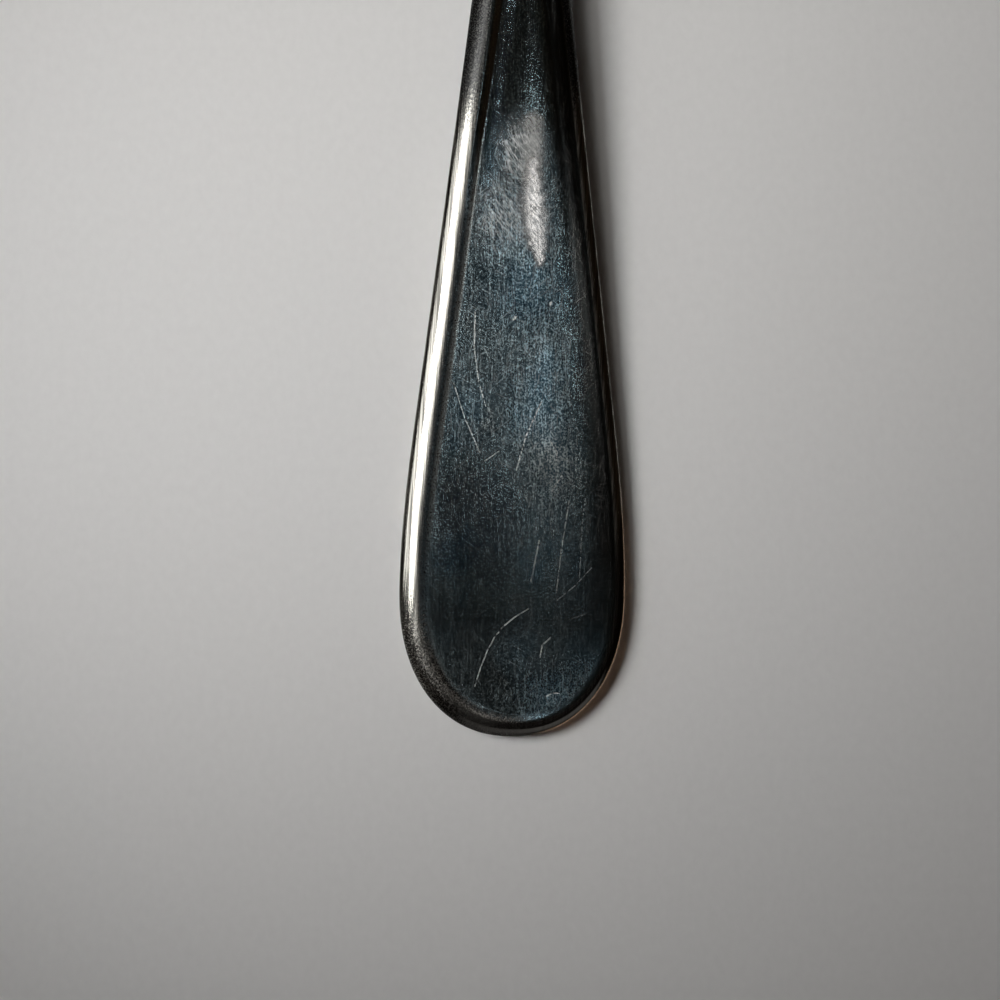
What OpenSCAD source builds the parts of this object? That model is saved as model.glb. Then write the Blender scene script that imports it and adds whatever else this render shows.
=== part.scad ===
// Serving spoon: a struck handle with a raised border, brazed under a pressed bowl.
// Sizes are in millimetres. +Y runs from the end of the handle to the tip of the bowl, +Z is up,
// and the origin is on the table below the middle of the spoon.

/* [Handle outline] */
// Distance from the end of the handle to the heel of the bowl
handle_l = 143; // [135:1:170]
// Greatest width of the handle, near its end
end_w = 23.2; // [18:0.2:28]
// Distance from the end to the greatest width
end_round_l = 14.8; // [12.4:0.2:16.8]
// Fullness of the rounded end, where 2 is an ellipse
end_fullness = 2.2; // [2:0.1:3]
// Distance from the end to where the straight taper starts
taper_from = 21; // [19:0.2:23]
// Distance from the end to the slim part of the taper
taper_l = 75; // [62:1:85]
// Width of the handle at the slim part of the taper
taper_w = 10; // [7.6:0.1:13]
// Distance from the end to where the stem is narrowest
stem_from = 116; // [100:1:117]
// Width of the stem where it is narrowest
stem_w = 6; // [5:0.1:7.4]

/* [Handle profile] */
// Thickness of the handle at its end
end_t = 2.2; // [1.6:0.1:3]
// Thickness of the stem at the neck
neck_t = 4; // [3.4:0.1:5]
// Length of the end that lies flat on the table
rest_l = 13; // [11:1:30]
// Height of the back above the table at the slim part of the taper
taper_h = 2.6; // [1:0.1:5]
// Height of the back above the table at the neck
neck_h = 12.5; // [9:0.5:18]
// Distance from the end to where the flat back starts to round
round_from = 45; // [32:1:60]
// Depth of the round on the back of the neck
neck_round = 1.9; // [1.4:0.1:2.4]
// Least height of the upright side below the border
edge_side = 0.4; // [0.2:0.05:0.6]

/* [Struck border] */
// Width of the border, measured in from the edge
border_w = 1.6; // [1.2:0.1:2.2]
// Slope of the border where it meets the upright side, in degrees
border_lean = 45; // [35:1:55]
// How far the border was struck off the centre line, toward +X
die_shift = 0.6; // [0:0.1:0.8]
// Drop from the border to the panel, at its deepest
step_d = 0.3; // [0:0.05:0.5]
// Width of that drop
step_w = 0.7; // [0.4:0.1:1.2]
// Rise of the panel from its margins to its middle
crown_h = 0.12; // [0:0.02:0.4]
// Rise of the low ridge that the panel grows into along the taper
ridge_h = 0.24; // [0.14:0.02:0.5]
// Distance from the end to where the ridge starts
ridge_from = 42; // [30:1:50]
// Distance from the end to where the ridge has its full rise
ridge_full = 58; // [52:1:80]
// Distance from the end to where the border starts to run out
border_from = 56; // [50:1:90]
// Width of the crest that is left between the borders on the stem
crest_w = 0.8; // [0.4:0.1:1.4]

/* [Bowl] */
// Length of the bowl from heel to tip
bowl_l = 72; // [60:1:85]
// Greatest width of the bowl
bowl_w = 46; // [38:0.5:54]
// Depth of the bowl below its rim
bowl_d = 9.5; // [7:0.5:13]
// Distance from the heel to the widest and deepest section
bowl_deep_l = 33; // [29:1:36]
// Wall of the bowl at its deepest
bowl_wall = 1.4; // [1:0.1:2]
// Width of the flat rim
rim_w = 1.1; // [0.8:0.1:1.6]
// Thickness of the rim at its edge
rim_t = 1; // [0.7:0.1:1.4]
// Lift of the rim at the tip
tip_lift = 0.8; // [0:0.1:2]
// Half the length of the shoulder between the stem and the bowl
shoulder_l = 6.5; // [5:0.5:9]

/* [Brazed joint] */
// Length of the tab that lies on the stem, up to the heel
tab_l = 17; // [14:0.5:18]
// Height of the upright side of the tab at its end
tab_side = 0.6; // [0.4:0.1:0.9]
// Length of the drop under the bowl, past the heel
drop_l = 12; // [9:0.5:18]
// Greatest width of the drop
drop_w = 8.4; // [7.6:0.1:9.4]
// Thickness of the drop at its edge and tip
drop_side = 0.3; // [0.2:0.05:0.4]
// Gap between the bowl and its seat on the handle
joint_gap = 0.2; // [0.16:0.02:0.3]
// Clearance of the braze from the faces on either side
braze_clear = 0.05; // [0.03:0.01:0.07]

/* [Hidden] */

// Places along the spoon, as distances from the end of the handle
spoon_l = handle_l + bowl_l;
heel = handle_l;
lap = heel - tab_l;
deep = heel + bowl_deep_l;
shoulder_from = heel - shoulder_l;
shoulder_mid = heel + shoulder_l;
drop_round = heel + drop_l / 4;
drop_end = heel + drop_l;

// Steps of the lofts
end_steps = 16;
side_steps = 36;
border_steps = 8;
step_steps = 3;
panel_steps = 10;
back_steps = 8;
lap_steps = 9;
drop_steps = 6;
heel_steps = 25;
tip_steps = 14;
rim_steps = 4;
bowl_steps = 16;
braze_steps = 10;
same_point = 0.0001;
top_count = 2 * (border_steps + 1 + step_steps) + panel_steps - 1;

function blend(a, b, t) = a + (b - a) * t;
function ease(t) = let (c = max(0, min(1, t))) c * c * (3 - 2 * c);
function round_out(v) = sqrt(max(0, 1 - v * v));
function dish(v) = pow(max(0, 1 - v * v), 0.8);

// Value at distance s on a smooth line through knots of distance, value and slope
function along(knots, s, i = 0) =
    s <= knots[0][0] ? knots[0][1]
    : i == len(knots) - 1 ? knots[i][1]
    : s > knots[i + 1][0] ? along(knots, s, i + 1)
    : let (a = knots[i], b = knots[i + 1], d = b[0] - a[0], t = (s - a[0]) / d)
        blend(a[1], b[1], t * t * (3 - 2 * t)) + d * (1 - t) * t * (a[2] * (1 - t) - b[2] * t);

// Lines of the handle
taper_slope = (end_w - taper_w) / 2 / (taper_l - taper_from);
turn_l = 4 * taper_from - 3 * end_round_l;
stem_slope = (taper_w - stem_w) / 2 / (stem_from - taper_l);
edge_line = [
    [end_round_l, end_w / 2, 0],
    [turn_l, taper_w / 2 + taper_slope * (taper_l - turn_l), -taper_slope],
    [taper_l, taper_w / 2, -min(0.95 * taper_slope, 2.6 * stem_slope)],
    [stem_from, stem_w / 2, 0]
];
rise_near = taper_h / (taper_l - rest_l);
rise_far = (neck_h - taper_h) / (lap - taper_l);
rise_mid = 2 * rise_near * rise_far / (rise_near + rise_far);
back_line = [[rest_l, 0, 0], [taper_l, taper_h, rise_mid], [lap, neck_h, 0]];
thick_line = [[end_round_l, end_t, 0], [lap, neck_t, 0]];
round_line = [[round_from, 0, 0], [lap, neck_round, 0]];
lower_side_line = [[taper_l, 0, 0], [lap, drop_side + joint_gap, 0]];
crown_line = [[ridge_from, crown_h, 0], [ridge_full, ridge_h, 0]];
fade_line = [[border_from, 0, 0], [lap, 1, 0]];
lean_line = [[taper_l, border_lean, 0], [lap, 90, 0]];

// Lines of the bowl and of the joint under it
neck_half = (bowl_w + stem_w) / 4;
shoulder_slope = 2.6 * (bowl_w / 2 - neck_half) / (deep - shoulder_mid);
bowl_edge_line = [
    [shoulder_from, stem_w / 2, 0],
    [shoulder_mid, neck_half, shoulder_slope],
    [deep, bowl_w / 2, 0]
];
rim_line = [
    [lap, neck_h + neck_round + tab_side, 0],
    [deep, bowl_d + bowl_wall, 0],
    [spoon_l, bowl_d + bowl_wall + tip_lift, 2 * tip_lift / (spoon_l - deep)]
];
rim_t_line = [[lap, tab_side, 0], [shoulder_mid, rim_t, 0]];
wall_line = [[lap, tab_side, 0], [shoulder_mid, bowl_wall, 0], [deep, bowl_wall, 0], [spoon_l, rim_t, 0]];
dome_line = [[lap, neck_t - neck_round - tab_side, 0], [shoulder_mid, 0, 0]];
bevel_line = [[lap, 0, 0], [heel, rim_w / rim_steps, 0]];
drop_edge_line = [[shoulder_from, stem_w / 2, 0], [drop_round, drop_w / 2, 0]];
drop_depth_line = [[lap, neck_round - drop_side - joint_gap, 0], [drop_end, 0, 0]];

// Outlines as points of half width and distance, from the end or from the joint
handle_outline = concat(
    [for (i = [0:end_steps]) end_point(90 * i / end_steps)],
    [for (i = [1:side_steps]) let (s = blend(end_round_l, lap, i / side_steps)) [along(edge_line, s), s]]
);
function end_point(a) = [
    end_w / 2 * pow(sin(a), 2 / end_fullness),
    end_round_l * (1 - pow(cos(a), 2 / end_fullness))
];
lap_outline = concat(
    [for (i = [0:lap_steps]) let (s = blend(lap, drop_round, i / lap_steps)) [along(drop_edge_line, s), s]],
    [for (i = [1:drop_steps]) drop_point(90 * i / drop_steps)]
);
function drop_point(a) = [drop_w / 2 * cos(a), blend(drop_round, drop_end, sin(a))];
bowl_outline = concat(
    [for (i = [0:heel_steps]) let (s = blend(lap + joint_gap, deep, i / heel_steps)) [bowl_half(s), s]],
    [for (i = [1:tip_steps]) tip_point(90 * i / tip_steps)]
);
function tip_point(a) = [bowl_w / 2 * cos(a), blend(deep, spoon_l, sin(a))];
function bowl_half(s) = along(bowl_edge_line, s);

// Point before or after point i of an outline, which goes on round to the other side where it closes
function beside(outline, i, step) =
    i + step >= 0 && i + step < len(outline) ? outline[i + step]
    : outline[i][0] > 0 ? outline[i]
    : [-outline[i - step][0], outline[i - step][1]];

// Inward direction across an outline, on its +X side
function inward(outline, i) =
    let (edge = beside(outline, i, 1) - beside(outline, i, -1), unit = edge / norm(edge))
    [-unit[1], unit[0]];

// A point of the spoon from its place across, along and above the table
function place(x, s, z) = [x, s - spoon_l / 2, z];

// Heights of the handle's edge
function seam_z(s) = along(back_line, s) + along(round_line, s);
function top_z(s) = along(back_line, s) + along(thick_line, s);
function side_z(s, struck_w) =
    let (struck = max(seam_z(s) + edge_side, top_z(s) - struck_w * tan(border_lean / 2)))
    blend(struck, seam_z(s) + tab_side, along(fade_line, s));

// Border from the edge to the panel on one side, -1 or 1, at one place of the outline
function border(i, side) =
    let (
        p = handle_outline[i],
        dir = inward(handle_outline, i),
        turn = side * dir[0],
        struck_w = border_w + die_shift * turn,
        fade = along(fade_line, p[1]),
        inset = blend(struck_w + step_w, p[0] - crest_w / 2, fade),
        width = inset * struck_w / (struck_w + step_w),
        drop = step_d * (1 + turn) / 2 * (1 - fade),
        lean = along(lean_line, p[1]),
        rounded = [for (k = [0:border_steps]) let (a = lean * (1 - k / border_steps))
            [width * (1 - sin(a) / sin(lean)), (cos(a) - cos(lean)) / (1 - cos(lean)), 0]],
        stepped = [for (k = [1:step_steps]) let (t = k / step_steps) [blend(width, inset, t), 1, drop * ease(t)]]
    )
    [for (q = concat(rounded, stepped)) border_point(p + dir * q[0], side, struck_w, q[1], q[2])];
function border_point(p, side, struck_w, up, down) =
    place(side * p[0], p[1], blend(side_z(p[1], struck_w), top_z(p[1]), up) - down);

function backward(list) = [for (i = [len(list) - 1:-1:0]) list[i]];

// Closed section of the handle at one place of the outline
function handle_ring(i) =
    let (
        s = handle_outline[i][1],
        left = border(i, -1),
        right = border(i, 1),
        a = left[len(left) - 1],
        b = right[len(right) - 1],
        crown = along(crown_line, s) * (1 - along(fade_line, s)) * ease(s / end_round_l * 2),
        panel = [for (k = [1:panel_steps - 1]) let (t = k / panel_steps)
            blend(a, b, t) + [0, 0, crown * 4 * t * (1 - t)]],
        low = along(lower_side_line, s),
        back = [for (k = [0:back_steps]) let (c = 180 * k / back_steps)
            place(handle_outline[i][0] * cos(c), s, seam_z(s) - blend(low, along(round_line, s), sin(c)))],
        seat_share = drop_side / (drop_side + joint_gap + tab_side)
    )
    concat(
        left, panel, backward(right),
        [blend(back[0], right[0], seat_share)], back, [blend(back[back_steps], left[0], seat_share)]
    );

// Underside of the bowl at one place across and along, where the half width is w
function bowl_depth(s) =
    let (u = (s - deep) / (s < deep ? bowl_deep_l : spoon_l - deep))
    bowl_d * pow(max(0, 1 - u * u), 1.1);
function bowl_under(v, s) =
    let (edge_t = along(rim_t_line, s))
    along(rim_line, s) - edge_t - (bowl_depth(s) + along(wall_line, s) - edge_t) * dish(v);
function bowl_top(v, s) = along(rim_line, s) + along(dome_line, s) * round_out(v);

// Closed section of the seat and drop that reach under the bowl
function lap_ring(i) =
    let (
        w = lap_outline[i][0],
        s = lap_outline[i][1],
        depth = along(drop_depth_line, s),
        seat = [for (k = [0:top_count - 1]) let (x = w * (2 * k / (top_count - 1) - 1))
            place(x, s, bowl_under(x / bowl_half(s), s) - joint_gap)],
        back = [for (k = [0:back_steps]) let (c = 180 * k / back_steps, x = w * cos(c))
            place(x, s, bowl_under(x / bowl_half(s), s) - joint_gap - drop_side - depth * sin(c))]
    )
    concat(seat, [seat[top_count - 1]], back, [seat[0]]);

// Closed section of the bowl at one place of the outline
function bowl_ring(i) =
    let (
        p = bowl_outline[i],
        dir = inward(bowl_outline, i),
        rim = [for (k = [0:rim_steps]) let (q = p + dir * rim_w * k / rim_steps)
            [q[0], q[1], bowl_top(p[0] > 0 ? q[0] / p[0] : 1, q[1]) - (k > 0 ? 0 : along(bevel_line, q[1]))]],
        q = p + dir * rim_w,
        inner = [for (k = [1:bowl_steps - 1]) let (v = -cos(180 * k / bowl_steps))
            place(q[0] * v, q[1], bowl_top(p[0] > 0 ? q[0] * v / p[0] : 1, q[1]) - bowl_depth(p[1]) * dish(v))],
        left = [for (r = rim) place(-r[0], r[1], r[2])],
        right = [for (r = rim) place(r[0], r[1], r[2])],
        under = [for (k = [0:bowl_steps]) let (v = cos(180 * k / bowl_steps))
            place(p[0] * v, p[1], bowl_under(v, p[1]))]
    )
    concat(left, inner, backward(right), under);

// Closed section of the braze, from its lower face up to the given height of its top
function braze_ring(w, s, full) =
    let (
        across = [for (k = [0:braze_steps]) -w * cos(180 * k / braze_steps)],
        layer = [for (x = across) place(x, s, bowl_under(x / bowl_half(s), s) - braze_clear)],
        top = full ? [for (x = across) place(x, s, bowl_top(x / bowl_half(s), s))] : layer,
        low = [for (x = across) place(x, s, bowl_under(x / bowl_half(s), s) - joint_gap + braze_clear)]
    )
    concat(top, [layer[braze_steps]], backward(low), [layer[0]]);

// Points of a section that lie where a given point does
function same_place(ring, p) = [for (k = [0:len(ring) - 1]) if (norm(ring[k] - p) < same_point) k];

// Number of the point to use for point j of section i, so that points in one place share a number
function shared(rings, i, j) =
    let (before = i > 0 ? same_place(rings[i - 1], rings[i][j]) : [])
    len(before) > 0
        ? (i - 1) * len(rings[0]) + before[0]
        : i * len(rings[0]) + same_place(rings[i], rings[i][j])[0];

// Solid between closed sections. The first one gets a flat face if the number of its top point is given.
module loft(rings, crest = undef) {
    n = len(rings[0]);
    numbers = [for (i = [0:len(rings) - 1]) [for (j = [0:n - 1]) shared(rings, i, j)]];
    sides = [
        for (i = [0:len(rings) - 2], j = [0:n - 1])
        let (a = numbers[i][j], b = numbers[i][(j + 1) % n])
        let (c = numbers[i + 1][j], d = numbers[i + 1][(j + 1) % n])
        each [[a, b, c], [b, d, c]]
    ];
    filled = [for (f = sides) if (f[0] != f[1] && f[1] != f[2] && f[2] != f[0]) f];
    start_face = is_undef(crest) ? [] : [[for (j = [0:n - 1]) (crest + n - j) % n]];
    polyhedron([for (ring = rings) each ring], concat(filled, start_face));
}

module handle() {
    struck = [for (i = [0:len(handle_outline) - 1]) handle_ring(i)];
    seat = [for (i = [0:len(lap_outline) - 1]) lap_ring(i)];
    color("silver") loft(concat(struck, seat));
}

module bowl() {
    color("gainsboro") loft([for (i = [0:len(bowl_outline) - 1]) bowl_ring(i)], rim_steps + bowl_steps / 2);
}

module braze() {
    start = lap + braze_clear;
    turn = lap + joint_gap - braze_clear;
    upright = [for (s = [start, turn]) braze_ring(stem_w / 2, s, true)];
    layer = [for (i = [1:len(lap_outline) - 1]) braze_ring(lap_outline[i][0], lap_outline[i][1], false)];
    color("khaki") loft(concat(upright, [braze_ring(stem_w / 2, turn, false)], layer), braze_steps / 2);
}

handle();
bowl();
braze();
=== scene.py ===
from math import radians

import bpy
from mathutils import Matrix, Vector
from mathutils.kdtree import KDTree


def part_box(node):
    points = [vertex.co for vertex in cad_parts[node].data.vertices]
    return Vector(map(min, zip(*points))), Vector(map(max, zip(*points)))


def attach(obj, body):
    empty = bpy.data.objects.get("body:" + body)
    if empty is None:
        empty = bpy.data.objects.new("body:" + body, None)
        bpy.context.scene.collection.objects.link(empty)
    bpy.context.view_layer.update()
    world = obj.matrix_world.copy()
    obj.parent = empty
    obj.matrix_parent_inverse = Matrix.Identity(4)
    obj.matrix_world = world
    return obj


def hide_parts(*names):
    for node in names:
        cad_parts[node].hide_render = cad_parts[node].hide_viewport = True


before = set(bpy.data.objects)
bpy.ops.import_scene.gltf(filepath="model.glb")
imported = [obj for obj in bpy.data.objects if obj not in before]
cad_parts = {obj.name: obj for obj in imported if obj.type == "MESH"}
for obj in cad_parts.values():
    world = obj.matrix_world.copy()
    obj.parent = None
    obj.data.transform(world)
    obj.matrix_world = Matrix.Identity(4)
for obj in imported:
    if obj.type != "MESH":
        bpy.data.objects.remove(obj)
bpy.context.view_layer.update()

# Handle: one bar of metal, struck in a die to its rounded end, raised border and crowned panel, then
# polished. Years of use have scratched it along its length and left a thin blue and brown tarnish.
# The bowl is brazed to the seat at its far end.
MM = 0.001
END_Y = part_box("handle")[0].y / MM


def rounded_copy(node, name, sharp_angle, crease):
    """A copy of a CAD solid with its facets merged, rounded out and smooth."""
    piece = bpy.data.objects.new(name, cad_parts[node].data.copy())
    bpy.context.scene.collection.objects.link(piece)
    bpy.ops.object.select_all(action="DESELECT")
    piece.select_set(True)
    bpy.context.view_layer.objects.active = piece
    bpy.ops.object.mode_set(mode="EDIT")
    bpy.ops.mesh.select_all(action="SELECT")
    bpy.ops.mesh.remove_doubles(threshold=0.001 * MM)
    bpy.ops.mesh.tris_convert_to_quads(face_threshold=radians(60), shape_threshold=radians(89))
    bpy.ops.mesh.select_all(action="DESELECT")
    bpy.ops.mesh.select_mode(type="EDGE")
    bpy.ops.mesh.edges_select_sharp(sharpness=sharp_angle)
    bpy.ops.transform.edge_crease(value=crease)
    bpy.ops.object.mode_set(mode="OBJECT")
    bpy.ops.object.modifier_add(type="SUBSURF")
    round_out = piece.modifiers[-1]
    round_out.levels = round_out.render_levels = 2
    bpy.ops.object.modifier_apply(modifier=round_out.name)
    bpy.ops.object.shade_smooth_by_angle(angle=radians(50))
    piece.data.materials.clear()
    return piece


handle = rounded_copy("handle", "spoon_handle", radians(40), 1.0)
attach(handle, "root")
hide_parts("handle")

# Distance of each point from the edge, in widths of the border at that place
BORDER_W = 1.6
DIE_SHIFT = 0.6
EDGE_LEAN = 0.35
edge_points = [v for v in handle.data.vertices if abs(v.normal.z) < EDGE_LEAN and v.co.y < 0]
edge_tree = KDTree(len(edge_points))
for i, v in enumerate(edge_points):
    edge_tree.insert((v.co.x, v.co.y, 0), i)
edge_tree.balance()
border_share = handle.data.attributes.new("border_share", "FLOAT", "POINT")
for v, share in zip(handle.data.vertices, border_share.data):
    _, i, gap = edge_tree.find((v.co.x, v.co.y, 0))
    share.value = gap / MM / (BORDER_W - DIE_SHIFT * edge_points[i].normal.x)

# Wear has rounded the step inside the border away, around the end and down the right side
WORN_S = 16
WORN_FADE = 8
RIGHT_FADE = 2
LEAST_WORN = 0.15
UPWARD = 0.3
step = handle.vertex_groups.new(name="worn_step")
for v, share in zip(handle.data.vertices, border_share.data):
    if v.normal.z > UPWARD and 0.5 < share.value < 2.4 and v.co.y < 0:
        from_end = v.co.y / MM - END_Y
        on_right = min(max(v.co.x / MM, 0), RIGHT_FADE) / RIGHT_FADE
        near_end = min(max((WORN_S + WORN_FADE - from_end) / WORN_FADE, 0), 1)
        step.add([v.index], max(LEAST_WORN, on_right, near_end), "REPLACE")
bpy.ops.object.modifier_add(type="SMOOTH")
wear_down = handle.modifiers[-1]
wear_down.vertex_group = step.name
wear_down.use_x = wear_down.use_y = False
wear_down.factor = 0.5
wear_down.iterations = 300
bpy.ops.object.modifier_apply(modifier=wear_down.name)


class Socket:
    """An output of a material's nodes. Sums and products of values add Math nodes."""

    def __init__(self, tree, output=None):
        self.tree = tree
        self.output = output

    def node(self, kind, settings=None, out=0, **inputs):
        made = self.tree.nodes.new("ShaderNode" + kind)
        for key, value in (settings or {}).items():
            if key == "stops":
                ramp = made.color_ramp
                while len(ramp.elements) < len(value):
                    ramp.elements.new(1)
                for stop, (at, level) in zip(ramp.elements, value):
                    stop.position = at
                    stop.color = (level, level, level, 1)
            else:
                setattr(made, key, value)
        for key, value in inputs.items():
            spot = made.inputs[int(key[1:])] if key[0] == "_" else made.inputs[key]
            if isinstance(value, Socket):
                self.tree.links.new(value.output, spot)
            else:
                spot.default_value = value
        return Socket(self.tree, made.outputs[out])

    def math(self, operation, other=0.0):
        return self.node("Math", {"operation": operation}, _0=self, _1=other)

    def __add__(self, other):
        return self.math("ADD", other)

    def __mul__(self, other):
        return self.math("MULTIPLY", other)

    def __sub__(self, other):
        return self.math("SUBTRACT", other)

    def __rsub__(self, other):
        return self.node("Math", {"operation": "SUBTRACT"}, _0=other, _1=self)

    __radd__ = __add__
    __rmul__ = __mul__

    def between(self, low, high):
        """0 at low, 1 at high, smooth in between."""
        return self.node("MapRange", {"interpolation_type": "SMOOTHSTEP"}, _0=self, _1=low, _2=high)

    def vector(self, operation, other, out=0):
        return self.node("VectorMath", {"operation": operation}, out, _0=self, _1=other)

    def mix(self, plain, full):
        """A colour that goes from plain to full with this share."""
        return self.node("Mix", {"data_type": "RGBA"}, 2, _0=self, _6=plain, _7=full)

    def other(self, name):
        """Another output of the same node."""
        return Socket(self.tree, self.output.node.outputs[name])

    def xyz(self):
        first = self.node("SeparateXYZ", _0=self)
        return [first.other(axis) for axis in "XYZ"]


def new_finish(name, metallic=1):
    """A new material, its shader, and the place on the piece in millimetres."""
    material = bpy.data.materials.new(name)
    material.use_nodes = True
    shader = material.node_tree.nodes["Principled BSDF"]
    shader.inputs["Metallic"].default_value = metallic
    place = Socket(material.node_tree).node("TexCoord", out=3)
    return material, shader, place.vector("MULTIPLY", (1 / MM,) * 3)


def feed(shader, values):
    """Links each value to the shader's input of that name."""
    for name, value in values.items():
        shader.id_data.links.new(value.output, shader.inputs[name])


def bumps(relief, strength, depth=0.02 * MM):
    """A normal for the shader from heights between 0 and 1."""
    return relief.node("Bump", Strength=strength, Distance=depth, Height=relief)


def noise(place, per_mm, detail=2.0, turn=0.0, shift=(0, 0, 0)):
    """Noise from 0 to 1 with so many features per millimetre each way, turned about Z."""
    spot = place.node("Mapping", Vector=place, Rotation=(0, 0, turn), Location=shift)
    return spot.node("TexNoise", Vector=spot.vector("MULTIPLY", per_mm), Scale=1.0, Detail=detail)


def strokes(place, per_mm, turn=0.0, width=0.05):
    """Fine wavy strokes, with so many waves per millimetre each way, turned about Z. Less width makes
    them thinner."""
    level = noise(place, per_mm, 1.0, turn, (20 * turn, 0, 0))
    return 1 - (level - 0.5).math("ABSOLUTE").between(0, width)


def hairlines(place, per_mm, turn, share):
    """Fine straight scratches at random places, in so many cells per millimetre each way, turned about Z.
    Share is how many of the cells have one."""
    spot = place.node("Mapping", Vector=place, Rotation=(0, 0, turn), Location=(10 * turn, 0, 0))
    cells = spot.vector("MULTIPLY", per_mm)
    gap = cells.node("TexVoronoi", {"voronoi_dimensions": "2D"}, Vector=cells, Scale=1.0)
    chance, depth, _ = gap.other("Color").xyz()
    return (1 - gap.between(0.06, 0.2)) * chance.math("LESS_THAN", share) * (0.3 + 0.7 * depth)


def deepest(layers):
    """The greatest of several values at each place."""
    most = layers[0]
    for layer in layers[1:]:
        most = most.math("MAXIMUM", layer)
    return most


def scratch(flat, points, width):
    """One scratch through places given across the handle and from its end, in millimetres."""
    runs = []
    for (x0, s0), (x1, s1) in zip(points, points[1:]):
        run = Vector((x1 - x0, s1 - s0, 0))
        from_start = flat.vector("SUBTRACT", (x0, s0 + END_Y, 0))
        share = from_start.vector("DOT_PRODUCT", run / run.length_squared, 1)
        nearest = share.node("VectorMath", {"operation": "SCALE"}, _0=run, _3=share.node("Clamp", _0=share))
        gap = from_start.vector("DISTANCE", nearest, 1)
        runs.append(1 - gap.between(width * 0.2, width * 0.8))
    return deepest(runs)


def patch(place, x, s, radius, longer=1.0):
    """A soft round patch, 1 in its middle, at a place given across the handle and from its end."""
    from_middle = place.vector("SUBTRACT", (x, s + END_Y, 0))
    gap = from_middle.vector("MULTIPLY", (1 / radius, 1 / radius / longer, 0))
    return 1 - gap.vector("LENGTH", (0, 0, 0), 1).between(0.1, 1)


worn, shader, place = new_finish("worn_polish")
flat = place.vector("MULTIPLY", (1, 1, 0))
across, lengthwise, _ = place.xyz()
along = lengthwise - END_Y
border = place.node("Attribute", {"attribute_name": "border_share"}, 2)

# Fine marks of polishing and use
brushing = strokes(place, (3, 0.12, 1), 0.02) * 0.5 + strokes(place, (4, 0.3, 1), -0.06) * 0.5
worms = strokes(place, (3, 1.1, 1), 0.45) * 0.5 + strokes(place, (2.6, 1, 1), -0.7) * 0.5
speckle = noise(place, (6, 5, 5), 1.0)
grit = noise(place, (7, 6, 6), 2.0, 0.7).between(0.45, 0.65)
clouds = noise(place, (0.2, 0.12, 0.1), 4.0, 0.3)
stains = noise(place, (0.3, 0.22, 0.2), 4.0, -0.5, (5, 2, 0))
# Middle of the painted highlight cloud, with swirl marks around it
HIGHLIGHT_X = 0.2
HIGHLIGHT_S = 60
from_highlight = flat.vector("SUBTRACT", (HIGHLIGHT_X, HIGHLIGHT_S + END_Y, 0))
highlight_dx, highlight_dy, _ = from_highlight.xyz()
highlight_turn = highlight_dy.math("ARCTAN2", highlight_dx)
highlight_gap = from_highlight.vector("LENGTH", (0, 0, 0), 1)
rings = highlight_gap.node("CombineXYZ", _0=highlight_gap, _1=highlight_turn * 3)
swirls = strokes(rings, (1.8, 0.6, 0), 0.1, 0.08)
highlight_strokes = strokes(place, (3.4, 0.5, 1), -0.7, 0.09) * 0.6
highlight_strokes = highlight_strokes + strokes(place, (3, 0.7, 1), -0.3, 0.07) * 0.6

# Hairlines all over, as cells per millimetre, turn and share of cells, and the deepest scratches, as width,
# depth and places across the handle and from its end
hair = deepest([hairlines(place, per_mm, turn, share) for per_mm, turn, share in (
    ((5, 0.12, 0), 0.02, 0.6),
    ((4, 0.2, 0), -0.1, 0.5),
    ((4, 0.15, 0), 0.25, 0.3),
    ((3.5, 0.2, 0), -0.45, 0.25),
    ((3, 0.15, 0), 0.9, 0.2),
    ((3, 0.2, 0), -1.1, 0.2),
    ((4.5, 1.2, 0), 0.5, 0.4),
)])
cuts = deepest([scratch(flat, points, width) * depth for width, depth, points in (
    (0.1, 0.9, ((-4.2, 43.5), (-4.25, 39.8), (-3.75, 36.4), (-3.0, 33.9))),
    (0.09, 0.8, ((-6.3, 36.2), (-5.1, 32.6), (-3.5, 29.1))),
    (0.1, 0.9, ((2.7, 34.4), (1.15, 30.8), (0.25, 27.4))),
    (0.08, 0.5, ((7.35, 24.6), (7.1, 22.2), (6.9, 16.5))),
    (0.09, 0.7, ((5.7, 24.3), (4.95, 18.9), (4.55, 14.9))),
    (0.09, 0.8, ((2.7, 20.2), (1.95, 16.0))),
    (0.08, 0.5, ((8.2, 17.6), (6.4, 15.6), (4.6, 14.1))),
    (0.1, 0.9, (
        (1.7, 13.2), (0.3, 12.3), (-0.9, 11.3), (-1.7, 10.25), (-2.4, 8.9), (-3.05, 7.2), (-3.65, 5.2),
    )),
    (0.12, 1.0, ((4.05, 10.3), (3.2, 9.5), (3.0, 8.3))),
    (0.1, 0.8, ((3.6, 4.2), (4.3, 4.6), (5.0, 4.6))),
    (0.08, 0.4, ((5.9, 12.2), (7.7, 12.8))),
    (0.09, 0.8, ((-2.95, 28.3), (-1.4, 29.4))),
    (0.09, 0.8, ((3.9, 25.2), (4.9, 26.9))),
    (0.09, 0.8, ((3.75, 30.3), (4.4, 29.3), (4.3, 28.2))),
    (0.25, 0.9, ((-0.1, 43.0), (-0.25, 42.7))),
    (0.22, 0.9, ((3.5, 44.5), (3.42, 44.3))),
)])

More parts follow.
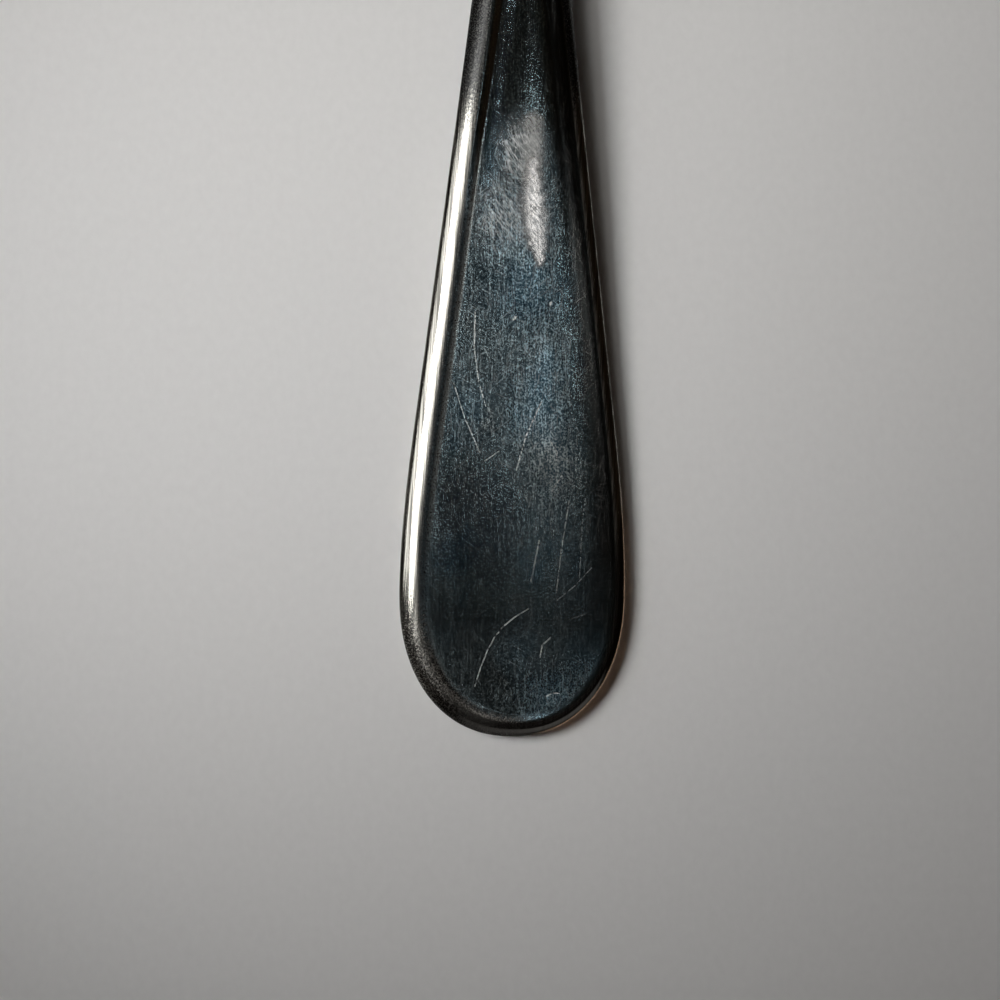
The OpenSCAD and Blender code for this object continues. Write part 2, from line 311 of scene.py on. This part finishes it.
# Zones of the struck face, from the edge in and from the end up
on_border = 1 - border.between(0.85, 1.05)
on_left = 1 - across.between(-2, 1)
# Painted reflection: a light beige band at the foot of the step on the left
foot_painted_reflection = border.between(1.1, 1.2) * (1 - border.between(1.3, 1.5)) * along.between(14, 30) * on_left
# Painted shade: a dark line in the hollow inside the border on the left
trough_painted_shade = border.between(0.75, 0.95) * (1 - border.between(1.1, 1.5)) * on_left
trough_painted_shade = trough_painted_shade * along.between(6, 16) * (1 - along.between(50, 62)) * speckle.between(0.2, 0.6)
open_panel = border.between(1.15, 1.6)
ragged = along + (speckle - 0.5) * 8 + (clouds - 0.5) * 6
low_satin = (1 - ragged.between(8, 15)) * (1 - across.between(-1, 4)) * (1 - border.between(1.0, 1.7))
satin = low_satin.math("MAXIMUM", on_border * ragged.between(61, 67))
# Painted shade: the foot of the step on the right, near the end
step_foot_painted_shade = border.between(0.8, 1.2) * (1 - border.between(2, 3.8))
step_foot_painted_shade = step_foot_painted_shade * across.between(1, 3) * along.between(10, 20)
stem_end = along.between(58, 66)

# A strip polished smoother than the rest and painted lighter as a highlight, and a painted highlight cloud
# at its top, both with unsteady edges
wobble = flat.node("TexNoise", out=1, Vector=flat, Scale=1.5).vector("SUBTRACT", (0.5,) * 3)
jitter = flat.vector("ADD", wobble)
smooth_strip_and_painted_highlight = deepest([scratch(jitter, points, width) for width, points in (
    (1.6, ((1.4, 58.4), (1.42, 56.5))),
    (2.4, ((1.42, 56.5), (1.5, 55))),
    (3.1, ((1.5, 55), (1.85, 51.8))),
    (2.3, ((1.85, 51.8), (2.05, 50.4))),
    (1.2, ((2.05, 50.4), (2.35, 48.6))),
)])
smooth_strip_and_painted_highlight = smooth_strip_and_painted_highlight * smooth_strip_and_painted_highlight * (1 - 0.25 * highlight_strokes)
swirled = patch(jitter, 0, 59, 6, 1.2)
# Painted highlight: a bright fan, streak and cloud near the top of the strip
painted_highlight_fan = patch(jitter, -1.6, 53.5, 4.5, 1.2) * 0.7
painted_highlight_streak = scratch(jitter, ((1.3, 62.6), (1.4, 57)), 1.9)
painted_highlight_cloud = patch(jitter, HIGHLIGHT_X, HIGHLIGHT_S, 3.5, 1.4).math("MAXIMUM", painted_highlight_streak * 0.9)
painted_highlight_cloud = painted_highlight_cloud * (0.75 + 0.35 * highlight_strokes)

# Wear from the end of the handle to the top of its face, and the roughness that it leaves
FACE_L = 75
wear = along.node("ValToRGB", {"stops": [(s / FACE_L, level) for s, level in (
    (0, 0.4), (4, 0.6), (8, 0.45), (12, 0.1), (19, 0.2), (26, 0.5), (33, 0.7), (42, 0.8), (54, 0.85),
    (62, 0.2), (75, 0.05),
)]}, _0=along * (1 / FACE_L))

marks = (hair * (0.12 + 0.22 * wear)).math("MAXIMUM", cuts * speckle.between(0.3, 0.6)) * open_panel
fine = brushing * 0.5 + worms * 0.5 + (speckle.between(0.35, 0.65) - 0.5) * 0.5
fine = fine + swirled * ((swirls - 0.3) * 0.5 - (fine - 0.3) * 0.4)
lean = (0.72 + 0.3 * across.between(-8, 0) + 0.75 * across.between(-2, 4)) * border.between(1.0, 1.8)
margin = 1 - across.between(1, 4) * (1 - border.between(1.8, 7)) * along.between(6, 14)
haze = wear * lean + patch(place, 3.4, 34, 5, 3) * 0.4 + patch(place, 1, 50.5, 4.5, 1.8) * 0.4
haze = haze * margin * (0.7 + 0.5 * clouds.between(0.3, 0.65)) + painted_highlight_cloud
POLISH = 0.13
panel_rough = POLISH - 0.035 * stem_end + marks * 0.3
panel_rough = panel_rough + haze * (0.14 + 0.06 * fine) * (1 - 0.88 * smooth_strip_and_painted_highlight)
panel_rough = panel_rough - smooth_strip_and_painted_highlight * (0.035 - 0.05 * fine)
brushed = noise(place, (9, 0.15, 0.15), 2.0, 0.05)
border_rough = POLISH + (brushed - 0.5) * 0.12 + border.between(0.45, 0.75) * 0.16 * (1 - 0.7 * satin)
border_rough = border_rough + satin * (0.1 + 0.1 * grit + 0.1 * patch(place, -3.2, 2.4, 3))
inner = on_border.math("MAXIMUM", low_satin)
rough = panel_rough + inner * (border_rough - panel_rough)

# Colour: blue and brown tarnish, bright scratches, painted highlights, a painted reflection and painted
# shade, and a copper-coloured line on the edge
blue_here = deepest([
    clouds.between(0.48, 0.7),
    patch(place, 4.2, 5, 5, 0.7),
    patch(place, 1, 45.5, 7, 0.8),
])
brown_here = (stains.between(0.55, 0.75) * 0.4).math("MAXIMUM", patch(place, 4.5, 28, 6) * 0.6)
# A thin copper-coloured line on the outermost edge, down the right side near the end
coppery_edge = (1 - border.between(0.05, 0.12)) * across.between(2, 6) * (1 - along.between(14, 30))
dark = blue_here.mix((0.068, 0.104, 0.125, 1), (0.05, 0.1, 0.138, 1))
light = blue_here.mix((0.7, 0.92, 1, 1), (0.6, 0.87, 1, 1))
light = brown_here.mix(light, (0.9, 0.92, 0.85, 1))
contrast = 0.35 + (fine.between(0, 0.75) - 0.35) * (0.75 + 0.35 * wear)
contrast = contrast * (0.4 + 0.72 * wear + 0.7 * stem_end)
colour = contrast.mix(dark, light)
# Painted highlight: the cloud, streak and fan painted near white
colour = painted_highlight_cloud.mix(colour, highlight_strokes.mix((0.16, 0.17, 0.17, 1), (0.97, 1, 1, 1)))
colour = (painted_highlight_streak * (0.4 + 0.5 * fine)).mix(colour, (0.97, 0.98, 0.96, 1))
colour = painted_highlight_fan.mix(colour, highlight_strokes.mix((0.1, 0.11, 0.115, 1), (0.95, 1, 1, 1)))
# Painted highlight: the smoother strip is also painted lighter along its length
colour = smooth_strip_and_painted_highlight.mix(colour, contrast.mix((0.42, 0.42, 0.42, 1), (0.85, 0.83, 0.81, 1)))
# Painted shade: the foot of the step on the right painted near black
colour = step_foot_painted_shade.mix(colour, (0.05, 0.055, 0.055, 1))
colour = marks.mix(colour, (0.9, 0.9, 0.87, 1))
# Painted reflection: the foot of the step on the left painted light beige
colour = (foot_painted_reflection * 0.5).mix(colour, (0.55, 0.53, 0.48, 1))
border_tone = brushed.between(0.35, 0.65).mix((0.14, 0.138, 0.125, 1), (0.45, 0.44, 0.4, 1))
colour = on_border.mix(colour, border_tone)
tarnish = 1 - 0.93 * along.between(30, 60)
frosted = grit * tarnish * (1 - 0.4 * low_satin) + 0.18 * low_satin
colour = satin.mix(colour, frosted.mix((0.035, 0.036, 0.036, 1), (0.5, 0.48, 0.44, 1)))
# Painted shade: the border darker at the end and down the lower right side
painted_shade_right = across.between(-2, 3) * (1 - along.between(14, 26))
painted_shade_end = (1 - along.between(2, 6)).math("MAXIMUM", painted_shade_right)
colour = (painted_shade_end * on_border * 0.9).mix(colour, (0.05, 0.048, 0.045, 1))
# Painted shade: the trough painted near black and made less metallic
colour = trough_painted_shade.mix(colour, (0.03, 0.033, 0.034, 1))
colour = coppery_edge.mix(colour, (0.78, 0.52, 0.35, 1))
metal = 1 - trough_painted_shade * 0.7

relief = (fine + speckle * 0.5 - marks) * (1 - smooth_strip_and_painted_highlight)
feed(shader, {"Base Color": colour, "Roughness": rough, "Metallic": metal, "Normal": bumps(relief, 0.1)})
handle.data.materials.append(worn)

# Bowl: sheet metal pressed to an oval dish with a narrow flat rim, and a tab at its heel that lies on the
# stem. It has the handle's polish, with the finer scratches that food and washing leave.
bowl = rounded_copy("bowl", "spoon_bowl", radians(40), 0.7)
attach(bowl, "root")
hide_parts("bowl")

washed, shader, place = new_finish("washed_polish")
brushing = noise(place, (5, 0.5, 0.5), 2.0, 0.1)
speckle = noise(place, (5, 4, 4), 1.0)
clouds = noise(place, (0.12, 0.1, 0.1), 4.0, 0.3)
hair = deepest([hairlines(place, per_mm, turn, share) for per_mm, turn, share in (
    ((3, 0.1, 0), 0.1, 0.4),
    ((3, 0.15, 0), -0.5, 0.3),
    ((2.5, 0.1, 0), 0.9, 0.3),
    ((3, 0.15, 0), 1.5, 0.3),
)])
grain = brushing.between(0.45, 0.6) * 0.5 + speckle.between(0.45, 0.62) * 0.5
rough = 0.14 + grain * (0.04 + 0.08 * clouds.between(0.35, 0.65)) + hair * 0.1
colour = clouds.between(0.4, 0.65).mix((0.6, 0.6, 0.58, 1), (0.5, 0.54, 0.56, 1))
colour = (hair * 0.5).mix(colour, (0.8, 0.79, 0.76, 1))
relief = brushing * 0.5 + speckle * 0.5 - hair * 0.5
feed(shader, {"Base Color": colour, "Roughness": rough, "Normal": bumps(relief, 0.1)})
bowl.data.materials.append(washed)

# Braze: the thin layer of yellowish braze between the bowl and its seat, run in hot and filed flush. Only
# its edge shows, as a line across the stem and around the drop.
filed, shader, place = new_finish("filed_braze")
file_marks = noise(place, (2, 9, 9), 2.0)
colour = file_marks.between(0.35, 0.65).mix((0.55, 0.47, 0.32, 1), (0.72, 0.64, 0.47, 1))
rough = 0.25 + file_marks * 0.25
feed(shader, {"Base Color": colour, "Roughness": rough, "Normal": bumps(file_marks, 0.2)})
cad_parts["braze"].material_slots[0].material = filed

# Floor: a sheet of pale matt paper under the spoon, with its fibres just showing. Outside the picture it
# glows a little, so that the other views aren't dark.
FLOOR_DROP = 0.02 * MM
bpy.ops.mesh.primitive_plane_add(size=6, location=(0, 0, -FLOOR_DROP))
floor = bpy.context.object
floor.name = "paper_floor"
paper, shader, place = new_finish("pale_paper", metallic=0)
shader.inputs["Roughness"].default_value = 0.9
shader.inputs["Specular IOR Level"].default_value = 0.1
shader.inputs["Emission Strength"].default_value = 1
fibres = noise(place, (1.2, 0.9, 0), 5.0)
pulp = fibres.mix((0.77, 0.77, 0.765, 1), (0.83, 0.83, 0.825, 1))
LIT_R = 100
GLOW_R = 165
from_lit = place.vector("ADD", (0, 60, 0)).vector("MULTIPLY", (1.35, 0.95, 0))
far_off = from_lit.vector("LENGTH", (0, 0, 0), 1).between(LIT_R, GLOW_R)
glow = far_off.mix((0, 0, 0, 1), (0.4, 0.395, 0.39, 1))
feed(shader, {"Base Color": pulp, "Emission Color": glow, "Normal": bumps(fibres, 0.25, 0.05 * MM)})
floor.data.materials.append(paper)

# Light: a soft box close on the left with a lower one beside it, a small one high above the stem, one
# beyond the bowl, and two wide cards that show only in the metal. The room is dim, and lighter near the
# horizon.
VIEW = Vector((-1.37, END_Y + 24.3, 0)) * MM
LIT_SPOT = VIEW + Vector((0.016, 0.02, 0))
STRIP_SPOT = VIEW + Vector((0, 0.018, 0))
WHITE = (1, 0.99, 0.98)


def soft_box(name, place, aim, size, power, colour=WHITE, spread=180, shape="RECTANGLE"):
    """An area light at a place, turned to aim at another, that the camera doesn't see."""
    bpy.ops.object.light_add(type="AREA", location=place)
    box = bpy.context.object
    box.name = name
    box.rotation_mode = "QUATERNION"
    box.rotation_quaternion = (aim - place).to_track_quat("-Z", "Y")
    box.data.shape = shape
    box.data.size, box.data.size_y = size
    box.data.energy = power
    box.data.color = colour
    box.data.spread = radians(spread)
    box.visible_camera = False
    return box


left_place = VIEW + Vector((-0.121, 0.023, 0.155))
soft_box("left_box", left_place, LIT_SPOT, (0.084, 0.085), 0.057, spread=81)
low_place = VIEW + Vector((-0.21, 0.03, 0.115))
soft_box("low_box", low_place, LIT_SPOT, (0.1, 0.095), 0.013, spread=81)
top_place = STRIP_SPOT + Vector((0, 0, 0.6))
soft_box("top_box", top_place, STRIP_SPOT, (0.034, 0.044), 0.0138, (1, 0.99, 0.97), shape="ELLIPSE")
far_place = Vector((-0.12, 0.2, 0.28))
soft_box("far_box", far_place, Vector((0, 0.09, 0)), (0.2, 0.2), 0.06, (1, 0.98, 0.95), 35)
for name, card_place in (("front_card", (0.15, -0.6, 0.3)), ("back_card", (0, 0.6, 0.4))):
    card = soft_box(name, Vector(card_place), Vector((0, 0, 0.01)), (0.9, 0.36), 0.5)
    card.visible_diffuse = False

world = bpy.data.worlds.new("dim_room")
bpy.context.scene.world = world
world.use_nodes = True
way = Socket(world.node_tree).node("TexCoord", out=0)
_, _, up = way.xyz()
room = up.between(0, 0.12).mix((0.42, 0.41, 0.4, 1), (0.012, 0.0075, 0.0045, 1))
world.node_tree.links.new(room.output, world.node_tree.nodes["Background"].inputs["Color"])

# Camera: straight above the end of the handle, with a small turn that follows the photo.
VIEW_W = 103.6 * MM
VIEW_UP = 200 * MM
VIEW_TURN = radians(0.92)
SENSOR_W = 36
camera = bpy.data.objects.new("camera", bpy.data.cameras.new("camera"))
bpy.context.scene.collection.objects.link(camera)
camera.location = VIEW + Vector((0, 0, VIEW_UP))
camera.rotation_euler = (0, 0, VIEW_TURN)
camera.data.sensor_width = SENSOR_W
camera.data.lens = SENSOR_W * VIEW_UP / VIEW_W
camera.data.clip_start = 0.01
bpy.context.scene.camera = camera
bpy.context.scene.view_settings.view_transform = "Standard"
